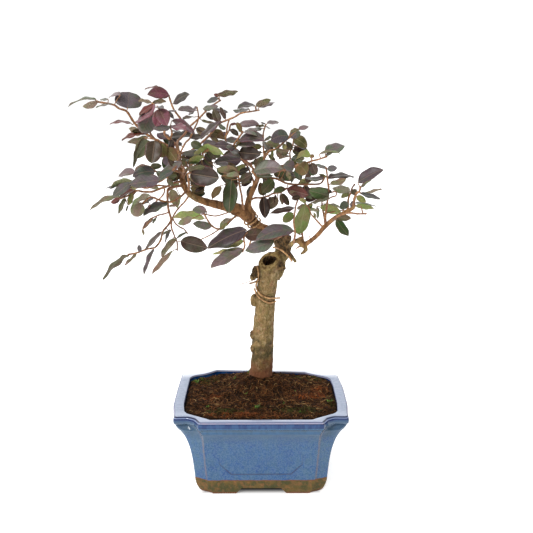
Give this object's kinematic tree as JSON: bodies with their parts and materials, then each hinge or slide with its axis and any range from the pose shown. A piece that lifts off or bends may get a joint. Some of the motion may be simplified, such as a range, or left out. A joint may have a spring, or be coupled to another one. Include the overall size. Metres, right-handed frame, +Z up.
{
  "type": "chinese fringe flower bonsai in a glazed pot",
  "caption": "Small potted tree with a hollow sawn stub, sweeping branches and purple-green leaves in a blue glazed rectangular pot on corner feet.",
  "frame": {"origin": "under the middle of the whole plant's box, on the ground that the pot's feet stand on", "axes": "+Z up, -Y towards the front of the pot, +X to the right seen from the front"},
  "size_m": [0.3355, 0.1729, 0.4465],
  "materials": {
    "glaze": "glossy mottled blue glaze, unglazed brown foot",
    "soil": "dark fibrous potting soil with a little moss",
    "screen": "plastic mesh",
    "bark": "pale brown bark, darker and rougher at old cuts",
    "wire": "copper-coloured anodised wire",
    "purple_leaf": "dull purple-grey leaves with sunk veins",
    "olive_leaf": "olive and grey-green leaves with sunk veins"
  },
  "bodies": {
    "root": {"pot": "glaze", "soil": "soil", "drain_screen_left": "screen", "drain_screen_right": "screen", "trunk": "bark", "trunk_wire": "wire", "loop_wire": "wire", "stub_wire": "wire", "branch_wire": "wire", "spray_left_high": "purple_leaf", "spray_left_upper": "olive_leaf", "spray_crown_left": "purple_leaf", "spray_crown_back_left": "purple_leaf", "spray_left_front": "purple_leaf", "spray_left_broad": "olive_leaf", "spray_crown_long": "purple_leaf", "spray_crown_middle": "purple_leaf", "spray_crown_mauve": "purple_leaf", "spray_crown_heart": "purple_leaf", "spray_crown_olive": "olive_leaf", "spray_crown_right": "olive_leaf", "spray_crown_round": "olive_leaf", "spray_right_high": "olive_leaf", "spray_left_middle": "purple_leaf", "spray_left_grey": "purple_leaf", "spray_left_low": "olive_leaf", "spray_left_olive": "purple_leaf", "spray_hanging_left": "olive_leaf", "spray_hanging_right": "olive_leaf", "spray_left_fan": "olive_leaf", "spray_middle_broad": "olive_leaf", "spray_low_green": "olive_leaf", "spray_low_purple": "purple_leaf", "spray_low_grey": "purple_leaf", "spray_low_olive": "olive_leaf", "spray_centre_dark": "olive_leaf", "spray_centre_purple": "purple_leaf", "spray_centre_mauve": "olive_leaf", "spray_centre_green": "olive_leaf", "spray_centre_long": "purple_leaf", "spray_centre_low": "purple_leaf", "spray_right_mauve": "purple_leaf", "spray_right_green": "olive_leaf", "spray_right_far": "olive_leaf", "spray_right_low": "olive_leaf", "spray_right_back": "olive_leaf", "spray_right_thin": "olive_leaf"}
  },
  "joints": []
}
